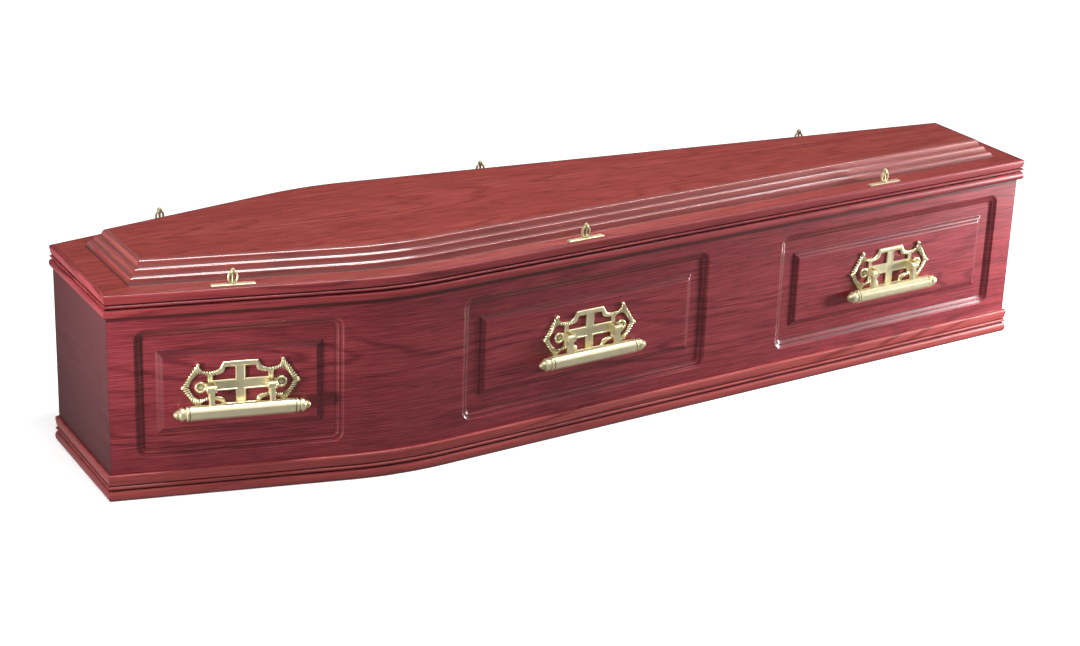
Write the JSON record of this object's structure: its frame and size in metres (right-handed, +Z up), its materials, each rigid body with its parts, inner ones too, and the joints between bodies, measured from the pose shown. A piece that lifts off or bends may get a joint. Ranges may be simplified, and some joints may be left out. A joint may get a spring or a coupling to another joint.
{
  "type": "wooden coffin",
  "caption": "Shouldered wooden coffin with a stepped raised lid, routed side panels, swing bar handles on pierced plates, and thumb screws.",
  "frame": {"origin": "on the floor, under the middle of the whole coffin", "axes": "+X from the head end to the foot end, +Y towards one side, +Z up"},
  "size_m": [1.9314, 0.4906, 0.4003],
  "materials": {
    "mahogany": "red mahogany stain under satin lacquer",
    "dull_mahogany": "red mahogany stain under a thinner, duller lacquer",
    "bare_board": "unfinished board",
    "brass": "pale polished plating"
  },
  "bodies": {
    "coffin": {"base_board": "bare_board", "base_moulding_far": "mahogany", "base_moulding_foot": "mahogany", "base_moulding_head": "mahogany", "base_moulding_near": "mahogany", "foot_board": "dull_mahogany", "handle_plate_far_foot": "brass", "handle_plate_far_head": "brass", "handle_plate_far_middle": "brass", "handle_plate_near_foot": "brass", "handle_plate_near_head": "brass", "handle_plate_near_middle": "brass", "head_board": "dull_mahogany", "lid_board": "mahogany", "lid_moulding_far": "mahogany", "lid_moulding_foot": "mahogany", "lid_moulding_head": "mahogany", "lid_moulding_near": "mahogany", "raised_moulding_far": "mahogany", "raised_moulding_foot": "mahogany", "raised_moulding_head": "mahogany", "raised_moulding_near": "mahogany", "raised_panel": "mahogany", "side_board_far": "mahogany", "side_board_near": "mahogany", "wreath_holder_plate_far_foot": "brass", "wreath_holder_plate_far_head": "brass", "wreath_holder_plate_far_middle": "brass", "wreath_holder_plate_near_foot": "brass", "wreath_holder_plate_near_head": "brass", "wreath_holder_plate_near_middle": "brass", "wreath_holder_screw_far_foot": "brass", "wreath_holder_screw_far_head": "brass", "wreath_holder_screw_far_middle": "brass", "wreath_holder_screw_near_foot": "brass", "wreath_holder_screw_near_head": "brass", "wreath_holder_screw_near_middle": "brass"},
    "handle_bar_near_head": {"handle_bar_near_head": "brass"},
    "handle_bar_near_middle": {"handle_bar_near_middle": "brass"},
    "handle_bar_near_foot": {"handle_bar_near_foot": "brass"},
    "handle_bar_far_head": {"handle_bar_far_head": "brass"},
    "handle_bar_far_middle": {"handle_bar_far_middle": "brass"},
    "handle_bar_far_foot": {"handle_bar_far_foot": "brass"}
  },
  "joints": [
    {"name": "handle_bar_near_head_swing", "type": "hinge", "parent": "coffin", "child": "handle_bar_near_head", "pos_m": [-0.74827, -0.1991, 0.1945], "axis": [-0.9766, 0.215, 0], "range_deg": [0, 90]},
    {"name": "handle_bar_near_middle_swing", "type": "hinge", "parent": "coffin", "child": "handle_bar_near_middle", "pos_m": [-0.08557, -0.22652, 0.1945], "axis": [-0.9967, -0.0808, 0], "range_deg": [0, 90]},
    {"name": "handle_bar_near_foot_swing", "type": "hinge", "parent": "coffin", "child": "handle_bar_near_foot", "pos_m": [0.62709, -0.16877, 0.1945], "axis": [-0.9967, -0.0808, 0], "range_deg": [0, 90]},
    {"name": "handle_bar_far_head_swing", "type": "hinge", "parent": "coffin", "child": "handle_bar_far_head", "pos_m": [-0.74827, 0.1991, 0.1945], "axis": [0.9766, 0.215, 0], "range_deg": [0, 90]},
    {"name": "handle_bar_far_middle_swing", "type": "hinge", "parent": "coffin", "child": "handle_bar_far_middle", "pos_m": [-0.08557, 0.22652, 0.1945], "axis": [0.9967, -0.0808, 0], "range_deg": [0, 90]},
    {"name": "handle_bar_far_foot_swing", "type": "hinge", "parent": "coffin", "child": "handle_bar_far_foot", "pos_m": [0.62709, 0.16877, 0.1945], "axis": [0.9967, -0.0808, 0], "range_deg": [0, 90]}
  ]
}
